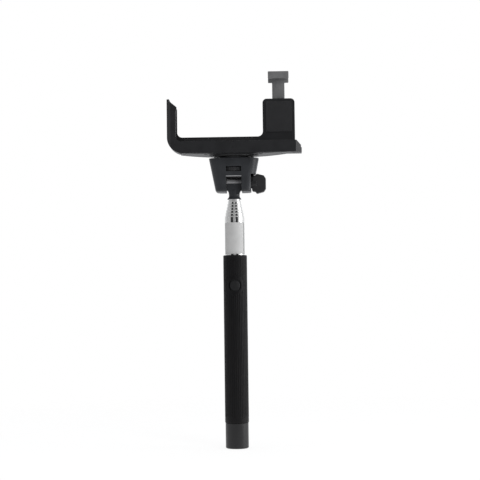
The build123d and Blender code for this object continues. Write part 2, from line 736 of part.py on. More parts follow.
def tray_rear():
    """Low wall behind the phone, with the spring housing's front plate standing on it."""
    x0, x1 = HOUSING_X
    left = TRAY_LEFT
    inner = left + 9.0
    wall = outline(
        (left, FLOOR_TOP - 1),
        (left, UPRIGHT_TOP),
        (inner, UPRIGHT_TOP - 8),
        (inner, REAR_WALL_TOP),
        (x0, REAR_WALL_TOP),
        (x0, HOUSING_TOP),
        (x1, HOUSING_TOP),
        (x1, FLOOR_TOP - 1),
    )
    corners = ((inner, REAR_WALL_TOP, 5.0), (x0, REAR_WALL_TOP, 5.0))
    corners += ((x0, HOUSING_TOP, 4.0), (x1, HOUSING_TOP, 4.0))
    for x, z, radius in corners:
        wall = fillet(wall.vertices().sort_by_distance((x, z, 0))[0], radius)
    limit = outline((left, TRAY_UNDER), (left, HOUSING_TOP), (x1, HOUSING_TOP), (x1, TRAY_UNDER))
    limit = fillet(limit.vertices().sort_by_distance((left, TRAY_UNDER, 0))[0], CORNER_R)
    return wall & limit


def spring_lines():
    return (ARM_X - ARM_HALF - SPRING_OFFSET, ARM_X + ARM_HALF + SPRING_OFFSET)


def housing_screw_places():
    x0, x1 = HOUSING_X
    return [(x, z) for x in (x0 + 3.1, x1 - 3.1) for z in (290.6, HOUSING_TOP - 4.0)]


def housing_cover():
    """Rear cover of the spring housing: back plate and side walls, open at the top."""
    x0, x1 = HOUSING_X
    front = REAR_WALL[1] + 0.05
    cover = block(x0, x1, front, HOUSING_BACK, FLOOR_TOP - 1, HOUSING_TOP)
    cover = fillet(cover.edges().filter_by(Axis.Y).sort_by(Axis.Z)[-2:], 4.0)
    cover = fillet(cover.faces().sort_by(Axis.Y)[-1].edges(), 1.2)
    cover -= block(x0 + 1.6, x1 - 1.6, front - 1, HOUSING_BACK - 2.0, FLOOR_TOP + 0.8, HOUSING_TOP - 1.8)
    cover -= block(ARM_X - ARM_HALF - 0.3, ARM_X + ARM_HALF + 0.3, front - 1, ARM_Y[1] + 0.3, 330, 350)
    for x, z in housing_screw_places():
        cover -= rod_y(0.85, front - 1, HOUSING_BACK + 1, x=x, z=z)
        cover -= rod_y(1.5, HOUSING_BACK - 1.0, HOUSING_BACK + 1, x=x, z=z)
    return cover


def housing_screws():
    screws = []
    for x, z in housing_screw_places():
        screw = rod_y(1.4, HOUSING_BACK - 0.95, HOUSING_BACK - 0.1, x=x, z=z)
        screw += rod_y(0.7, -8.5, HOUSING_BACK - 0.9, x=x, z=z)
        screw -= rod_y(0.4, HOUSING_BACK - 0.5, HOUSING_BACK + 1, x=x, z=z)
        screws.append(screw)
    return Compound(children=screws)


def clamp_arm():
    """Flat bar in the housing, bent forward over the phone and down in front of it."""
    x0, x1 = ARM_X - ARM_HALF, ARM_X + ARM_HALF
    bar = block(x0, x1, *ARM_Y, 306.0, HOOK_TOP)
    for x in spring_lines():
        ends = sorted((x, ARM_X))
        bar += block(*ends, *ARM_Y, SPRING_TOP + 0.4, SPRING_TOP + 2.4)
        bar += block(x - 1.5, x + 1.5, *ARM_Y, SPRING_TOP + 0.4, SPRING_TOP + 2.4)
    hook_x = (ARM_X - HOOK_HALF, ARM_X + HOOK_HALF)
    hook = block(*hook_x, TRAY_FRONT + 0.4, ARM_Y[1], HOOK_TOP - 1.9, HOOK_TOP)
    hook += block(*hook_x, TRAY_FRONT + 0.4, TRAY_FRONT + 3.0, HOOK_LIP_BOTTOM, HOOK_TOP)
    hook += block(*hook_x, ARM_Y[0], ARM_Y[1], HOOK_TOP - 8.0, HOOK_TOP)
    return bar + hook


def hook_pad():
    """Rubber strip under the hook, on the phone's top edge."""
    return block(
        ARM_X - HOOK_HALF + 0.8,
        ARM_X + HOOK_HALF - 0.8,
        TRAY_FRONT + 3.4,
        ARM_Y[0] - 0.4,
        HOOK_TOP - 3.7,
        HOOK_TOP - 1.95,
    )


def one_spring():
    length = SPRING_TOP - SPRING_BOTTOM
    pitch = length / SPRING_COILS
    path = Helix(pitch=pitch, height=length, radius=SPRING_R)
    return sweep(Plane(path @ 0, z_dir=path % 0) * Circle(SPRING_WIRE), path=path)


def clamp_springs():
    y = (ARM_Y[0] + ARM_Y[1]) / 2
    springs = [Pos(x, y, SPRING_BOTTOM) * one_spring() for x in spring_lines()]
    return Compound(children=springs)


def floor_pad():
    front, back = TRAY_FRONT + LIP_THICK + 0.6, REAR_WALL[0] - 0.6
    left = TRAY_LEFT + UPRIGHT_WALL + FLOOR_CORNER_R + 0.6
    right = TRAY_RIGHT - RIGHT_FACET[0] - 0.6
    return block(left, right, front, back, FLOOR_TOP + 0.02, FLOOR_TOP + FLOOR_PAD)


def side_pad():
    front, back = TRAY_FRONT + LIP_THICK + 0.6, REAR_WALL[0] - 0.6
    wall = TRAY_LEFT + UPRIGHT_WALL
    return block(wall + 0.02, wall + 0.8, front, back, 301.8, 326.0)


def back_pads():
    """Pads on the face that the phone leans on."""
    x0, x1 = HOUSING_X
    tall = block(x0 + 3, x1 - 3, REAR_WALL[0] - 0.8, REAR_WALL[0] - 0.02, 304.0, 334.0)
    low = block(TRAY_LEFT + 15, x0 - 8, REAR_WALL[0] - 0.8, REAR_WALL[0] - 0.02, 290.5, 298.0)
    return Compound(children=[tall, low])


# ---- assembly -----------------------------------------------------------------------------

PARTS = {
    "end_cap": end_cap,
    "cap_screw": cap_screw,
    "electronics_carrier": electronics_carrier,
    "circuit_board": circuit_board,
    "charging_port": charging_port,
    "power_switch": power_switch,
    "power_slider": power_slider,
    "charge_lens": charge_lens,
    "battery_cell": battery_cell,
    "button_ribbon": button_ribbon,
    "button_dome": button_dome,
    "grip_sleeve": grip_sleeve,
    "button_bezel": button_bezel,
    "shutter_button": shutter_button,
    "outer_tube": outer_tube,
    "tube_wrap": tube_wrap,
    "base_stop": base_stop,
    "tilt_neck": tilt_neck,
    "wear_cap": wear_cap,
    "neck_pin": neck_pin,
    "head_front_shell": head_front_shell,
    "head_rear_shell": head_rear_shell,
    "hinge_plate": hinge_plate,
    "head_screws": head_screws,
    "friction_washers": friction_washers,
    "tilt_nut": tilt_nut,
    "tilt_knob": tilt_knob,
    "tilt_bolt": tilt_bolt,
    "thumbwheel": thumbwheel,
    "mount_stud": mount_stud,
    "stud_clip": stud_clip,
    "swivel_pad": swivel_pad,
    "cradle_base": cradle_base,
    "base_screws": base_screws,
    "thread_insert": thread_insert,
    "cradle_tray": cradle_tray,
    "housing_cover": housing_cover,
    "housing_screws": housing_screws,
    "clamp_arm": clamp_arm,
    "hook_pad": hook_pad,
    "clamp_springs": clamp_springs,
    "floor_pad": floor_pad,
    "side_pad": side_pad,
    "back_pads": back_pads,
}

os.makedirs("parts", exist_ok=True)
for name, build in PARTS.items():
    export_step(build(), f"parts/{name}.step")
for number in range(len(SECTION_R)):
    export_step(section_tube(number), f"parts/section_{number + 1}_tube.step")
    export_step(section_foot_plug(number), f"parts/section_{number + 1}_foot.step")
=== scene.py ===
import json
from math import cos, hypot, pi, radians, sin

import bmesh
import bpy
from mathutils import Matrix, Vector


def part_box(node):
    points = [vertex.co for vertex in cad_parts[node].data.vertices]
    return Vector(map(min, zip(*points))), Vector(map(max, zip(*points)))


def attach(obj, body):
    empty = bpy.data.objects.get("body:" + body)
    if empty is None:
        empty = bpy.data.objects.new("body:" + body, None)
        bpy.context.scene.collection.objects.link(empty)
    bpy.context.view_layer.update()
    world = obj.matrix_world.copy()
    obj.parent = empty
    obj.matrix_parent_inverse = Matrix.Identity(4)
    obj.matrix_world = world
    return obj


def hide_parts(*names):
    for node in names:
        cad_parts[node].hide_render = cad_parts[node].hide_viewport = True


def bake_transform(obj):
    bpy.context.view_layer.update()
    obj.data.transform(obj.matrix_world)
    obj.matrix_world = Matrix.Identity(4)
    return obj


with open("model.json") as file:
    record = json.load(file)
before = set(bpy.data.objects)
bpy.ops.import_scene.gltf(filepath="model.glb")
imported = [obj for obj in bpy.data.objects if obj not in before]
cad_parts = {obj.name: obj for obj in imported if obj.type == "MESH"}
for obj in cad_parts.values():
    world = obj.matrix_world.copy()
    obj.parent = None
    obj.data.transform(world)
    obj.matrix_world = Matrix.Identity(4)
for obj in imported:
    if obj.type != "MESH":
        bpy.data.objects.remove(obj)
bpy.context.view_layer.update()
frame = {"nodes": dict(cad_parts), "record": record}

# The looks of a selfie stick. Every CAD node gets a material, and most of the outer ones get
# rounded edges. The grip, the wrap, the pole's tubes and the clamp's springs are finer meshes in
# place of their CAD nodes. Metres; +Z runs up the pole, and the button and the screen face -Y.

MM = 0.001
NODES = frame["nodes"]


# ---- shader nodes -------------------------------------------------------------------------


def node(tree, kind, inputs=None, **props):
    """Add a shader node; an input is a value, or a socket to link from."""
    made = tree.nodes.new(kind)
    for key, value in props.items():
        setattr(made, key, value)
    for key, value in (inputs or {}).items():
        if isinstance(value, bpy.types.NodeSocket):
            tree.links.new(value, made.inputs[key])
        else:
            made.inputs[key].default_value = value
    return made


def new_tree(name):
    material = bpy.data.materials.new(name)
    material.use_nodes = True
    tree = material.node_tree
    tree.nodes.clear()
    return material, tree


def object_coords(tree):
    return node(tree, "ShaderNodeTexCoord").outputs["Object"]


def stretched(tree, scale):
    """Object coordinates scaled per axis, for drawn or brushed directions."""
    inputs = {"Vector": object_coords(tree), "Scale": scale}
    return node(tree, "ShaderNodeMapping", inputs).outputs["Vector"]


def noise(tree, vector, scale, detail=3.0, rough=0.55):
    inputs = {"Vector": vector, "Scale": scale, "Detail": detail, "Roughness": rough}
    return node(tree, "ShaderNodeTexNoise", inputs).outputs["Fac"]


def remap(tree, value, low, high, to_low, to_high):
    inputs = {"Value": value, "From Min": low, "From Max": high,
              "To Min": to_low, "To Max": to_high}
    return node(tree, "ShaderNodeMapRange", inputs).outputs["Result"]


def math(tree, operation, a, b):
    return node(tree, "ShaderNodeMath", {0: a, 1: b}, operation=operation).outputs[0]


def mix(tree, factor, a, b):
    inputs = {0: factor, 6: a, 7: b}
    return node(tree, "ShaderNodeMix", inputs, data_type="RGBA").outputs[2]


def rgb(colour, gain=1.0):
    return (*[min(1.0, c * gain) for c in colour], 1.0)


def bump(tree, strength, depth, height, normal=None):
    """A bumped normal; depth is in millimetres."""
    inputs = {"Strength": strength, "Distance": depth * MM, "Height": height}
    if normal is not None:
        inputs["Normal"] = normal
    return node(tree, "ShaderNodeBump", inputs).outputs["Normal"]


def edge_mask(tree, radius):
    """1 on convex and concave edges, 0 on open faces, and the normal rounded at the edges."""
    soft = node(tree, "ShaderNodeBevel", {"Radius": radius * MM}, samples=4).outputs["Normal"]
    flat = node(tree, "ShaderNodeNewGeometry").outputs["Normal"]
    dot = node(tree, "ShaderNodeVectorMath", {0: soft, 1: flat}, operation="DOT_PRODUCT")
    return remap(tree, dot.outputs["Value"], 0.985, 0.75, 0.0, 1.0), soft


def finish_material(tree, shader):
    output = node(tree, "ShaderNodeOutputMaterial")
    tree.links.new(shader.outputs[0], output.inputs["Surface"])


def finish_principled(tree, inputs):
    finish_material(tree, node(tree, "ShaderNodeBsdfPrincipled", inputs))


# ---- materials ----------------------------------------------------------------------------

# Scales of noise are in features per metre.
FLOW_SCALE = 90.0
DUST_SCALE = 900.0
HANDLING_SCALE = 160.0
CLOUD_SCALE = 120.0
FLECK_SCALE = 5200.0
WEAVE_SCALE = 3000.0
HAZE_SCALE = 1500.0
WRINKLE_STRETCH = (40.0, 40.0, 420.0)
TRACE_STRETCH = (1500.0, 1.0, 700.0)
GRAIN_STRETCH = {
    "Z": (2600.0, 2600.0, 25.0), "X": (25.0, 2600.0, 2600.0), "flat": (700.0, 700.0, 700.0),
}

# Widths of rubbed edges, in millimetres.
MOULDED_EDGE = 0.35
METAL_EDGE = 0.12

# Near-black colour of the painted shade in the steel's grooves and on its undersides.
PAINTED_SHADE = (0.035, 0.035, 0.036, 1)
METALLIC = 0.8


def moulded(name, colour, rough=0.5, grain=0.35, depth=0.02, edge=1.5, spec=0.35):
    """Injection-moulded plastic or rubber: spark-eroded grain, flow mottling, rubbed edges.

    Grain and depth are in millimetres, and edge is how much lighter a rubbed edge is.
    """
    material, tree = new_tree(name)
    coords = object_coords(tree)
    fine = noise(tree, coords, 1.0 / (grain * MM), 2.0)
    flow = noise(tree, coords, FLOW_SCALE, 4.0)
    dust = noise(tree, coords, DUST_SCALE, 2.0, 0.7)
    mask, soft = edge_mask(tree, MOULDED_EDGE)
    base = mix(tree, remap(tree, flow, 0.35, 0.65, 0.0, 1.0), rgb(colour, 0.88), rgb(colour, 1.14))
    base = mix(tree, remap(tree, dust, 0.68, 0.78, 0.0, 0.35), base, rgb(colour, 2.2))
    base = mix(tree, math(tree, "MULTIPLY", mask, 0.55), base, rgb(colour, edge))
    roughness = math(tree, "ADD", remap(tree, flow, 0.3, 0.7, rough - 0.05, rough + 0.06),
                     remap(tree, fine, 0.3, 0.7, -0.04, 0.04))
    roughness = math(tree, "SUBTRACT", roughness, math(tree, "MULTIPLY", mask, 0.08))
    finish_principled(tree, {
        "Base Color": base, "Roughness": roughness, "Specular IOR Level": spec,
        "Normal": bump(tree, 0.55, depth, fine, soft),
    })
    return material


def metal(name, colour, rough=0.2, along="Z", depth=0.004, tint=0.9, underside_shade=0.0):
    """Rolled, turned or drawn metal, with fine lines one way, and faint handling marks.

    Depth is in millimetres, and tint is how dark the marks are. A "groove" attribute paints
    shade into the grooves; the last argument is how far faces that point down get painted shade.
    """
    material, tree = new_tree(name)
    lines = noise(tree, stretched(tree, GRAIN_STRETCH[along]), 1.0, 3.0)
    marks = noise(tree, object_coords(tree), HANDLING_SCALE, 5.0, 0.65)
    mask, soft = edge_mask(tree, METAL_EDGE)
    base = mix(tree, remap(tree, marks, 0.35, 0.7, 0.0, 1.0), rgb(colour), rgb(colour, tint))
    base = mix(tree, math(tree, "MULTIPLY", mask, 0.25), base, rgb(colour, 1.12))
    groove = node(tree, "ShaderNodeAttribute", attribute_name="groove").outputs["Fac"]
    normal = node(tree, "ShaderNodeNewGeometry").outputs["Normal"]
    upward = node(tree, "ShaderNodeSeparateXYZ", {0: normal}).outputs["Z"]
    # Painted shade: the grooves and the faces that point down are darkened towards near black.
    dark = math(tree, "MAXIMUM", groove, remap(tree, upward, -0.3, -0.8, 0.0, underside_shade))
    base = mix(tree, dark, base, PAINTED_SHADE)
    roughness = math(tree, "ADD", remap(tree, lines, 0.3, 0.7, rough - 0.05, rough + 0.07),
                     remap(tree, marks, 0.4, 0.75, 0.0, 0.08))
    finish_principled(tree, {
        "Base Color": base, "Roughness": math(tree, "MAXIMUM", roughness, dark),
        "Metallic": remap(tree, dark, 0.0, 1.0, METALLIC, 0.0),
        "Specular IOR Level": remap(tree, dark, 0.0, 1.0, 0.5, 0.05),
        "Normal": bump(tree, 0.35, depth, lines, soft),
    })
    return material


def film(name, colour):
    """Thin film: slight wrinkles, a soft gloss, and dark where a "seam" attribute is 1."""
    material, tree = new_tree(name)
    wrinkle = noise(tree, stretched(tree, WRINKLE_STRETCH), 1.0, 3.0)
    coords = object_coords(tree)
    cloud = noise(tree, coords, CLOUD_SCALE, 4.0)
    fleck = noise(tree, coords, FLECK_SCALE, 2.0)
    base = mix(tree, remap(tree, cloud, 0.35, 0.65, 0.0, 1.0), rgb(colour, 0.96), rgb(colour, 1.05))
    base = mix(tree, remap(tree, fleck, 0.35, 0.7, 0.0, 0.25), base, rgb(colour, 1.2))
    seam = node(tree, "ShaderNodeAttribute", attribute_name="seam").outputs["Fac"]
    base = mix(tree, seam, base, rgb(colour, 0.22))
    height = math(tree, "ADD", wrinkle, math(tree, "MULTIPLY", fleck, 0.12))
    finish_principled(tree, {
        "Base Color": base, "Normal": bump(tree, 0.4, 0.05, height), "Specular IOR Level": 0.25,
        "Roughness": remap(tree, cloud, 0.3, 0.7, 0.46, 0.58),
    })
    return material


def circuit(name, colour):
    """Solder-masked board with fine copper traces under the mask."""
    material, tree = new_tree(name)
    inputs = {"Vector": stretched(tree, TRACE_STRETCH), "Scale": 1.0, "Mortar Size": 0.06}
    traces = node(tree, "ShaderNodeTexBrick", inputs).outputs["Fac"]
    weave = noise(tree, object_coords(tree), WEAVE_SCALE)
    finish_principled(tree, {
        "Base Color": mix(tree, traces, rgb(colour), rgb(colour, 1.8)),
        "Roughness": remap(tree, weave, 0.3, 0.7, 0.25, 0.4),
        "Normal": bump(tree, 0.3, 0.02, weave), "Coat Weight": 0.3,
    })
    return material


def clear_lens(name, colour):
    material, tree = new_tree(name)
    haze = noise(tree, object_coords(tree), HAZE_SCALE)
    finish_principled(tree, {
        "Base Color": rgb(colour), "Transmission Weight": 0.85, "IOR": 1.49,
        "Roughness": remap(tree, haze, 0.3, 0.7, 0.08, 0.22),
    })
    return material


RECIPES = {
    "cap_plastic": (moulded, (0.0085, 0.0085, 0.0092), dict(rough=0.38, grain=0.3, spec=0.4)),
    "grip_rubber": (moulded, (0.0042, 0.0040, 0.0044), dict(rough=0.5, grain=0.22, spec=0.18)),
    "button_plastic": (moulded, (0.007, 0.007, 0.0075), dict(rough=0.4, grain=0.25)),
    "tube_steel": (metal, (0.76, 0.76, 0.745), dict(rough=0.24, depth=0.007, tint=0.8)),
    "wrap_film": (film, (0.44, 0.44, 0.435), {}),
    "foot_nylon": (moulded, (0.72, 0.71, 0.66), dict(rough=0.45, edge=1.1)),
    "head_plastic": (moulded, (0.0235, 0.0250, 0.0280), dict(rough=0.42, grain=0.3, spec=0.32)),
    "cradle_plastic": (moulded, (0.0115, 0.0117, 0.0127), dict(rough=0.42, grain=0.3, spec=0.3)),
    "hook_plastic": (moulded, (0.128, 0.128, 0.129), dict(rough=0.45, grain=0.3)),
    "knob_plastic": (moulded, (0.019, 0.019, 0.020), dict(rough=0.42, grain=0.25)),
    # Its mid grey is a painted highlight: it stands in for the light on the tilt knuckle's top.
    "wear_nylon": (moulded, (0.36, 0.36, 0.37), dict(rough=0.42, grain=0.3, edge=1.2)),
    # The plate's faces that point down get painted shade, near black, for the dark gap under it.
    "plate_steel": (metal, (0.70, 0.70, 0.71), dict(rough=0.34, along="X", underside_shade=1.0)),
    "pad_rubber": (moulded, (0.016, 0.016, 0.017), dict(rough=0.75, grain=0.5, depth=0.05)),
    "screw_steel": (metal, (0.42, 0.42, 0.43), dict(rough=0.32, along="flat")),
    "insert_brass": (metal, (0.72, 0.54, 0.25), dict(rough=0.26)),
    "spring_steel": (metal, (0.55, 0.55, 0.56), dict(rough=0.25, along="flat")),
    "board_green": (circuit, (0.020, 0.110, 0.045), {}),
    "port_steel": (metal, (0.62, 0.62, 0.63), dict(rough=0.28, along="flat")),
    "switch_plastic": (moulded, (0.018, 0.018, 0.020), dict(rough=0.5)),
    "lens_clear": (clear_lens, (0.80, 0.85, 0.90), {}),
    "cell_wrap": (film, (0.40, 0.42, 0.46), {}),
    "ribbon_film": (moulded, (0.40, 0.17, 0.03), dict(rough=0.3, grain=1.2)),
    "dome_steel": (metal, (0.66, 0.66, 0.66), dict(rough=0.2, along="flat")),
    "carrier_plastic": (moulded, (0.040, 0.040, 0.042), dict(rough=0.5)),
}
MATERIALS = {
    name: recipe(name, colour, **looks) for name, (recipe, colour, looks) in RECIPES.items()
}


# ---- mesh helpers -------------------------------------------------------------------------


def smooth(obj, angle):
    """Smooth shading, kept sharp where faces meet at more than the angle, in degrees."""
    mesh = obj.data
    bm = bmesh.new()
    bm.from_mesh(mesh)
    limit = radians(angle)
    for face in bm.faces:
        face.smooth = True
    for edge in bm.edges:
        if len(edge.link_faces) == 2:
            edge.smooth = edge.calc_face_angle(0.0) < limit
    bm.to_mesh(mesh)
    bm.free()


def add_object(name, data):
    obj = bpy.data.objects.new(name, data)
    bpy.context.scene.collection.objects.link(obj)
    return obj


def add_piece(name, verts, faces, slot, replaced):
    """A visible piece in place of a CAD node; the caller says what it rides on."""
    mesh = bpy.data.meshes.new(name)
    mesh.from_pydata(verts, [], faces)
    mesh.validate()
    mesh.materials.append(MATERIALS[slot])
    piece = add_object(name, mesh)
    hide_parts(replaced)
    return piece


def set_points(piece, name, values):
    """Store one float per vertex, for a material to read."""
    attribute = piece.data.attributes.new(name, "FLOAT", "POINT")
    attribute.data.foreach_set("value", values)


def soft_step(value, low, high):
    t = min(1.0, max(0.0, (value - low) / (high - low)))
    return t * t * (3 - 2 * t)


def round_pole(radius, theta, z):
    """A point round the pole's axis; theta is measured from the front, towards +X."""
    return radius * sin(theta), -radius * cos(theta), z


def ring_faces(rows, columns):
    """Quads between closed rings of points; the last ring joins the first."""
    faces = []
    for row in range(rows):
        here, there = row * columns, (row + 1) % rows * columns
        for j in range(columns):
            k = (j + 1) % columns
            faces.append((here + j, here + k, there + k, there + j))
    return faces


# ---- grip ---------------------------------------------------------------------------------

GRIP_BORE = 9.5 * MM
GRIP_ROUND = 0.7 * MM
GRIP_SHARP = 40
RIBS = 38
RIB_COLUMNS = 12
RIB_DEPTH = 0.36 * MM
TOP_FADE = (0.8 * MM, 2.4 * MM)

# The plain band at the bottom, and the seam above it.
BAND = 5.0 * MM
BAND_FADE = (BAND + 0.1 * MM, BAND + 1.6 * MM)
BAND_SEAM = 0.16 * MM
BAND_SEAM_FADE = (0.1 * MM, 0.3 * MM)

# The shutter button's hollow, and the smooth ring round it.
BUTTON_Z = 156.5 * MM
BUTTON_SINK = 1.7 * MM
BUTTON_WALL = (6.9 * MM, 7.3 * MM)
BUTTON_CLEAR = (8.3 * MM, 10.0 * MM)

# Where the rings of points lie: millimetres from an end and from the seam, then steps.
END_ROWS = (0.0, 0.1, 0.25, 0.45, 0.7, 1.2, 2.0, 3.5)
SEAM_ROWS = (-0.6, -0.25, -0.12, 0.0, 0.12, 0.25, 0.6, 1.4)
FINE_STEP, FINE_REACH = 0.3 * MM, 10.5 * MM
PLAIN_STEP, PLAIN_GAP = 3 * MM, 10.6 * MM
PLAIN_FROM, PLAIN_TO = 9 * MM, 4 * MM


def grip_rows(low, high):
    """Heights of the grip's rings: close together at the ends, the band and the button."""
    rows = [low + e * MM for e in END_ROWS] + [high - e * MM for e in END_ROWS]
    rows += [low + BAND + s * MM for s in SEAM_ROWS]
    z = BUTTON_Z - FINE_REACH
    while z < BUTTON_Z + FINE_REACH:
        rows.append(z)
        z += FINE_STEP
    z = low + PLAIN_FROM
    while z < high - PLAIN_TO:
        if abs(z - BUTTON_Z) > PLAIN_GAP:
            rows.append(z)
        z += PLAIN_STEP
    return sorted(set(round(z, 7) for z in rows))


def grip_radius(outer, theta, z, low, high):
    """Radius of the ribbed surface; theta is measured from the front, from -pi to pi."""
    wave = max(0.0, cos(RIBS * theta)) ** 3
    rib = soft_step(z - low, *BAND_FADE) * soft_step(high - z, *TOP_FADE)
    from_button = hypot(theta * outer, z - BUTTON_Z)
    rib *= soft_step(from_button, *BUTTON_CLEAR)
    radius = outer - wave * rib * RIB_DEPTH
    from_seam = abs(z - low - BAND)
    radius -= BAND_SEAM * (1 - soft_step(from_seam, *BAND_SEAM_FADE))
    from_end = max(0.0, min(z - low, high - z))
    if from_end < GRIP_ROUND:
        radius -= GRIP_ROUND - (GRIP_ROUND * GRIP_ROUND - (GRIP_ROUND - from_end) ** 2) ** 0.5
    sink = 1 - soft_step(from_button, *BUTTON_WALL)
    return radius - sink * BUTTON_SINK


def make_grip():
    low_corner, high_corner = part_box("grip_sleeve")
    low, high, outer = low_corner.z, high_corner.z, high_corner.x
    columns = RIBS * RIB_COLUMNS
    turns = [2 * pi * j / columns for j in range(columns)]
    rows = grip_rows(low, high)
    verts = []
    for z in rows:
        for theta in turns:
            near = theta if theta <= pi else theta - 2 * pi
            verts.append(round_pole(grip_radius(outer, near, z, low, high), theta, z))
    verts += [round_pole(GRIP_BORE, theta, z) for z in (high, low) for theta in turns]
    faces = ring_faces(len(rows) + 2, columns)
    grip = add_piece("grip_ribbed", verts, faces, "grip_rubber", "grip_sleeve")
    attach(grip, "handle")
    smooth(grip, GRIP_SHARP)


# ---- wrap ---------------------------------------------------------------------------------

WRAP_COLUMNS = 240
WRAP_WALL = 0.18 * MM
WRAP_LAP = 0.09 * MM
WRAP_END = 0.08 * MM
WRAP_END_INSET = 0.05 * MM
WRAP_SHARP = 30
SEAM_AT = radians(66.0)
SEAM_COLUMNS = 2


def make_wrap():
    """The film round the tube, with its overlapped edge as a small step."""
    low_corner, high_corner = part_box("tube_wrap")
    low, high, outer = low_corner.z, high_corner.z, high_corner.x
    turns = [2 * pi * j / WRAP_COLUMNS for j in range(WRAP_COLUMNS)]
    rows = [low, low + WRAP_END, (low + high) / 2, high - WRAP_END, high]
    verts = []
    for z in rows:
        inset = WRAP_END_INSET if z in (low, high) else 0.0
        for turn in turns:
            lift = WRAP_LAP * (turn / (2 * pi)) ** 6
            verts.append(round_pole(outer - WRAP_LAP + lift - inset, SEAM_AT + turn, z))
    inner = outer - WRAP_WALL
    verts += [round_pole(inner, SEAM_AT + turn, z) for z in (high, low) for turn in turns]
    faces = ring_faces(len(rows) + 2, WRAP_COLUMNS)
    wrap = add_piece("wrap_sleeve", verts, faces, "wrap_film", "tube_wrap")
    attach(wrap, "handle")
    columns = [i % WRAP_COLUMNS for i in range(len(verts))]
    from_seam = [min(column, WRAP_COLUMNS - column) for column in columns]
    set_points(wrap, "seam", [1.0 if away <= SEAM_COLUMNS else 0.0 for away in from_seam])
    smooth(wrap, WRAP_SHARP)


# ---- pole ---------------------------------------------------------------------------------

# Each tube and its radius, in millimetres, from the outer one in.
TUBE_RADII = {
    "outer_tube": 9.4, "section_1_tube": 8.75, "section_2_tube": 8.15, "section_3_tube": 7.5,
    "section_4_tube": 6.9, "section_5_tube": 6.25, "section_6_tube": 5.65,
}
POLE_COLUMNS = 360
TUBE_SHARP = 50
WALL = 0.4 * MM
RIM = 0.5 * MM
RIM_STEPS = 6

# Each groove's place and half width in radians, the share of it that is flat, its depth, and
# how far painted shade darkens the steel in it.
GROOVE_AT = radians(14.5)
GROOVE_HALF = 0.15
GROOVE_FLAT = 0.72
GROOVE_DEEP = 0.3 * MM
GROOVE_DARK = 1.4

# Depths below a tube's top: an extra ring, the end of the grooves, and the rim's turned-in lip.
# The gaps are between the lip and the next tube.
EXTRA_RING = 4.0 * MM
GROOVE_STOP, GROOVE_GONE = 1.25 * MM, 1.0 * MM
LIP_BEVEL, LIP_TOP, LIP_END, LIP_STEP = 0.05 * MM, 0.2 * MM, 1.1 * MM, 1.2 * MM
LIP_BEVEL_GAP, LIP_GAP = 0.12 * MM, 0.04 * MM


def groove_share(theta):
    """1 in a tube's two pairs of grooves, front and back, and 0 between them."""
    folded = abs(theta) % pi
    folded = min(folded, pi - folded)
    return 1 - soft_step(abs(folded - GROOVE_AT) / GROOVE_HALF, GROOVE_FLAT, 1.0)


def tube_rows(low, top, radius, inner):
    """(height, radius, groove share) of a tube's rings, up the outside and over its rim."""
    rows = [(low, radius, 1.0), (top - EXTRA_RING, radius, 1.0),
            (top - GROOVE_STOP, radius, 1.0), (top - GROOVE_GONE, radius, 0.0)]
    for step in range(RIM_STEPS + 1):
        turn = step / RIM_STEPS * pi / 2
        rows.append((top - RIM + RIM * sin(turn), radius - RIM * (1 - cos(turn)), 0.0))
    rows += [(top - LIP_BEVEL, inner + LIP_BEVEL_GAP, 0.0), (top - LIP_TOP, inner + LIP_GAP, 0.0),
             (top - LIP_END, inner + LIP_GAP, 0.0), (top - LIP_STEP, radius - WALL, 1.0),
             (low, radius - WALL, 1.0)]
    return rows


def make_tube(node_name, body, child_radius):
    """A polished, grooved tube with a rolled rim, in place of the plain CAD tube."""
    low_corner, high_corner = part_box(node_name)
    radius = TUBE_RADII[node_name] * MM
    rows = tube_rows(low_corner.z, high_corner.z, radius, child_radius * MM)
    verts, shares = [], []
    for z, r, depth in rows:
        for j in range(POLE_COLUMNS):
            theta = 2 * pi * j / POLE_COLUMNS
            share = depth * groove_share(theta)
            verts.append(round_pole(r - GROOVE_DEEP * share, theta, z))
            shares.append(share)
    faces = ring_faces(len(rows), POLE_COLUMNS)
    tube = add_piece(f"{node_name}_rolled", verts, faces, "tube_steel", node_name)
    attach(tube, body)
    # Painted shade in the grooves: the "groove" attribute darkens the steel there.
    set_points(tube, "groove", [min(1.0, GROOVE_DARK * share) for share in shares])
    smooth(tube, TUBE_SHARP)


def make_pole():
    """Roll every tube but the last, which has no tube inside it and stays as the CAD made it."""
    names = list(TUBE_RADII)
    for i, node_name in enumerate(names[:-1]):
        body = "handle" if i == 0 else f"section_{i}"
        make_tube(node_name, body, TUBE_RADII[names[i + 1]])


# ---- springs ------------------------------------------------------------------------------

COIL_WIRE = 0.3 * MM
COIL_MEAN = 1.7 * MM
COIL_TURNS = 11
COIL_RINGS = 26 * COIL_TURNS
COIL_SIDES = 10
COIL_SHARP = 60

# The share of the wire in each closed end, and of the height that it climbs evenly.
COIL_LEAD = 0.08
COIL_CREEP = 0.04


def coil_height(t):
    """Height along the wire, from 0 to 1: nearly flat in the first and last turn."""
    ramp = max(0.0, min(1.0, (t - COIL_LEAD) / (1 - 2 * COIL_LEAD)))
    return COIL_CREEP * t + (1 - COIL_CREEP) * ramp


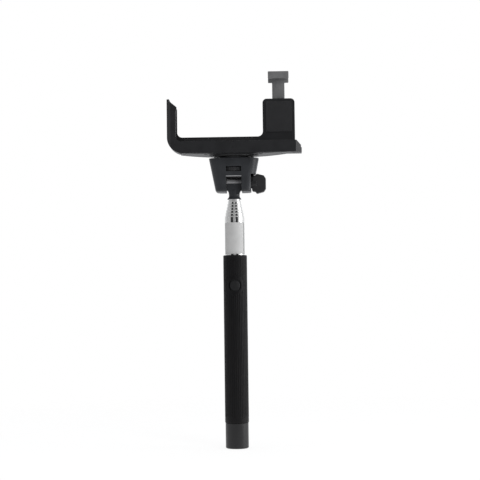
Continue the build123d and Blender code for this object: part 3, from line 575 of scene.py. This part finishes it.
def coil(centre_x, centre_y, low, high, first):
    """Verts and faces of one round-wire coil with closed ends; first numbers its verts."""
    verts, faces = [], []
    sides = range(COIL_SIDES)
    for i in range(COIL_RINGS + 1):
        t = i / COIL_RINGS
        turn = 2 * pi * COIL_TURNS * t
        rise = low + COIL_WIRE + (high - low - 2 * COIL_WIRE) * coil_height(t)
        for j in sides:
            around = 2 * pi * j / COIL_SIDES
            r = COIL_MEAN + COIL_WIRE * cos(around)
            z = rise + COIL_WIRE * sin(around)
            verts.append((centre_x + r * cos(turn), centre_y + r * sin(turn), z))
    for i in range(COIL_RINGS):
        here, there = first + i * COIL_SIDES, first + (i + 1) * COIL_SIDES
        for j in sides:
            k = (j + 1) % COIL_SIDES
            faces.append((here + j, there + j, there + k, here + k))
    faces.append(tuple(first + j for j in sides))
    faces.append(tuple(first + COIL_RINGS * COIL_SIDES + j for j in reversed(sides)))
    return verts, faces


def make_springs():
    """Two coils that stretch between the cradle and the clamp arm."""
    low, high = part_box("clamp_springs")
    y = (low.y + high.y) / 2
    verts, faces = [], []
    for x in (low.x + COIL_MEAN + COIL_WIRE, high.x - COIL_MEAN - COIL_WIRE):
        more_verts, more_faces = coil(x, y, low.z, high.z, len(verts))
        verts += more_verts
        faces += more_faces
    springs = add_piece("clamp_coils", verts, faces, "spring_steel", "clamp_springs")
    smooth(springs, COIL_SHARP)
    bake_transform(springs)


# ---- soft edges on the CAD nodes ----------------------------------------------------------

# Bevel widths, in millimetres.
EDGE_RADII = {
    "cradle_tray": 0.45, "cradle_base": 0.4, "housing_cover": 0.35, "clamp_arm": 0.55,
    "head_front_shell": 0.4, "head_rear_shell": 0.4, "tilt_knob": 0.35, "tilt_neck": 0.35,
    "end_cap": 0.25, "button_bezel": 0.2, "shutter_button": 0.25, "hook_pad": 0.25,
    "floor_pad": 0.2, "side_pad": 0.2, "back_pads": 0.2, "wear_cap": 0.15, "hinge_plate": 0.2,
    "thumbwheel": 0.1, "swivel_pad": 0.2,
}
WELD_WITHIN = 0.01 * MM
FLAT_WITHIN = radians(0.6)
EDGE_FROM = radians(34)
EDGE_SEGMENTS = 3
NORMAL_WEIGHT = 80


def soften(name, radius):
    """Round a CAD node's edges with modifiers; its own mesh is left as it is."""
    obj = NODES[name]
    merge = obj.modifiers.new("merge", "WELD")
    merge.merge_threshold = WELD_WITHIN
    flat = obj.modifiers.new("flat", "DECIMATE")
    flat.decimate_type = "DISSOLVE"
    flat.angle_limit = FLAT_WITHIN
    bevel = obj.modifiers.new("edges", "BEVEL")
    bevel.limit_method = "ANGLE"
    bevel.angle_limit = EDGE_FROM
    bevel.width = radius * MM
    bevel.segments = EDGE_SEGMENTS
    bevel.use_clamp_overlap = True
    bevel.harden_normals = False
    bevel.miter_outer = "MITER_ARC"
    normals = obj.modifiers.new("normals", "WEIGHTED_NORMAL")
    normals.keep_sharp = False
    normals.weight = NORMAL_WEIGHT
    for polygon in obj.data.polygons:
        polygon.use_smooth = True


# ---- stage, light and camera --------------------------------------------------------------

WHITE = (1, 1, 1, 1)

FLOOR_Z = -0.0002
FLOOR_REACH = 0.7
FLOOR_SIDES = 96
FLOOR_SCALE = 40.0
FLOOR_DARK, FLOOR_LIGHT = (0.93, 0.93, 0.93, 1), (0.96, 0.96, 0.96, 1)
FLOOR_WHITE = 0.88
FLOOR_FADE = (0.15, 0.65)

# Glows of the room that lights the object: direction, where each starts and is full, level.
ROOM_LEVEL = 0.24
ROOM_COLOUR = (0.96, 0.97, 1, 1)
ROOM_GLOWS = (("Y", -0.3, 0.9, 0.75), ("Z", 0.1, -0.6, 0.5), ("X", 0.2, 0.95, 0.7),
              ("X", -0.4, -0.95, 0.35))

# Softboxes: name, place, width, height, watts, seen in reflections.
LIGHT_AIM = Vector((0, 0, 0.2))
SOFTBOXES = (
    ("key_front_right", (0.75, -1.2, 0.75), 0.5, 0.9, 9, False),
    ("side_right", (1.34, -0.2, 0.3), 0.6, 1.2, 8, True),
    ("fill_left", (-1.4, -0.5, 0.4), 0.4, 1.2, 4, False),
    ("top", (0.0, -0.1, 1.6), 1.0, 1.0, 9, True),
)

CAMERA_AZIMUTH = radians(2.0)
CAMERA_DISTANCE = 1.2
CAMERA_HEIGHT = 0.145
CAMERA_YAW = radians(1.7619)
CAMERA_PITCH = radians(2.6554)
CAMERA_ROLL = radians(-0.7088)
CAMERA_LENS = 92.705
CAMERA_SENSOR = 36.0
CAMERA_CLIP = (0.05, 100.0)


def make_floor():
    """A plain white floor that fades into the backdrop before its edge is seen."""
    turns = [2 * pi * k / FLOOR_SIDES for k in range(FLOOR_SIDES)]
    rim = [(FLOOR_REACH * cos(turn), FLOOR_REACH * sin(turn), FLOOR_Z) for turn in turns]
    mesh = bpy.data.meshes.new("floor")
    mesh.from_pydata(rim, [], [tuple(range(FLOOR_SIDES))])
    floor = add_object("floor", mesh)
    material, tree = new_tree("pale_floor")
    coords = object_coords(tree)
    tone = mix(tree, noise(tree, coords, FLOOR_SCALE), FLOOR_DARK, FLOOR_LIGHT)
    matt = node(tree, "ShaderNodeBsdfDiffuse", {"Color": tone}).outputs[0]
    white = node(tree, "ShaderNodeEmission", {"Color": WHITE, "Strength": 1.0}).outputs[0]
    surface = node(tree, "ShaderNodeMixShader", {0: FLOOR_WHITE, 1: matt, 2: white}).outputs[0]
    far = node(tree, "ShaderNodeVectorMath", {0: coords}, operation="LENGTH").outputs["Value"]
    clear = node(tree, "ShaderNodeBsdfTransparent").outputs[0]
    gone = remap(tree, far, *FLOOR_FADE, 0.0, 1.0)
    finish_material(tree, node(tree, "ShaderNodeMixShader", {0: gone, 1: surface, 2: clear}))
    mesh.materials.append(material)


def make_world():
    """White to the camera; for light and reflections, a room that is dark at the front."""
    world = bpy.data.worlds.new("studio")
    bpy.context.scene.world = world
    world.use_nodes = True
    tree = world.node_tree
    tree.nodes.clear()
    ray = node(tree, "ShaderNodeTexCoord").outputs["Generated"]
    part = node(tree, "ShaderNodeSeparateXYZ", {0: ray}).outputs
    glows = [remap(tree, part[axis], start, full, 0.0, level)
             for axis, start, full, level in ROOM_GLOWS]
    brightest = glows[0]
    for glow in glows[1:]:
        brightest = math(tree, "MAXIMUM", brightest, glow)
    level = math(tree, "ADD", brightest, ROOM_LEVEL)
    seen = node(tree, "ShaderNodeLightPath").outputs["Is Camera Ray"]
    white = node(tree, "ShaderNodeBackground", {"Color": WHITE, "Strength": 1.0}).outputs[0]
    room = node(tree, "ShaderNodeBackground", {"Color": ROOM_COLOUR, "Strength": level}).outputs[0]
    both = node(tree, "ShaderNodeMixShader", {0: seen, 1: room, 2: white}).outputs[0]
    tree.links.new(both, node(tree, "ShaderNodeOutputWorld").inputs["Surface"])


def make_light(name, place, width, height, watts, reflected):
    data = bpy.data.lights.new(name, "AREA")
    data.shape = "RECTANGLE"
    data.size, data.size_y = width, height
    data.energy = watts
    light = add_object(name, data)
    light.visible_glossy = reflected
    light.location = place
    direction = LIGHT_AIM - Vector(place)
    light.rotation_euler = direction.to_track_quat("-Z", "Y").to_euler()


def make_camera():
    data = bpy.data.cameras.new("camera")
    data.lens = CAMERA_LENS
    data.sensor_width = CAMERA_SENSOR
    data.clip_start, data.clip_end = CAMERA_CLIP
    camera = add_object("camera", data)
    place = Vector((sin(CAMERA_AZIMUTH), -cos(CAMERA_AZIMUTH), 0)) * CAMERA_DISTANCE
    place.z = CAMERA_HEIGHT
    ahead = Vector((-sin(CAMERA_YAW) * cos(CAMERA_PITCH), cos(CAMERA_YAW) * cos(CAMERA_PITCH),
                    sin(CAMERA_PITCH)))
    level = Vector((cos(CAMERA_YAW), sin(CAMERA_YAW), 0))
    over = level.cross(ahead)
    right = level * cos(CAMERA_ROLL) + over * sin(CAMERA_ROLL)
    up = over * cos(CAMERA_ROLL) - level * sin(CAMERA_ROLL)
    turned = Matrix((right, up, -ahead)).transposed().to_4x4()
    camera.matrix_world = Matrix.Translation(place) @ turned
    bpy.context.scene.camera = camera


# ---- build --------------------------------------------------------------------------------

for entry in frame["record"]["subparts"]:
    materials = NODES[entry["node"]].data.materials
    materials.clear()
    materials.append(MATERIALS[entry["material_slot"]])

for name, radius in EDGE_RADII.items():
    soften(name, radius)
make_grip()
make_wrap()
make_pole()
make_springs()
make_floor()
make_world()
for softbox in SOFTBOXES:
    make_light(*softbox)
make_camera()
bpy.context.scene.view_settings.view_transform = "Standard"

bpy.context.view_layer.update()
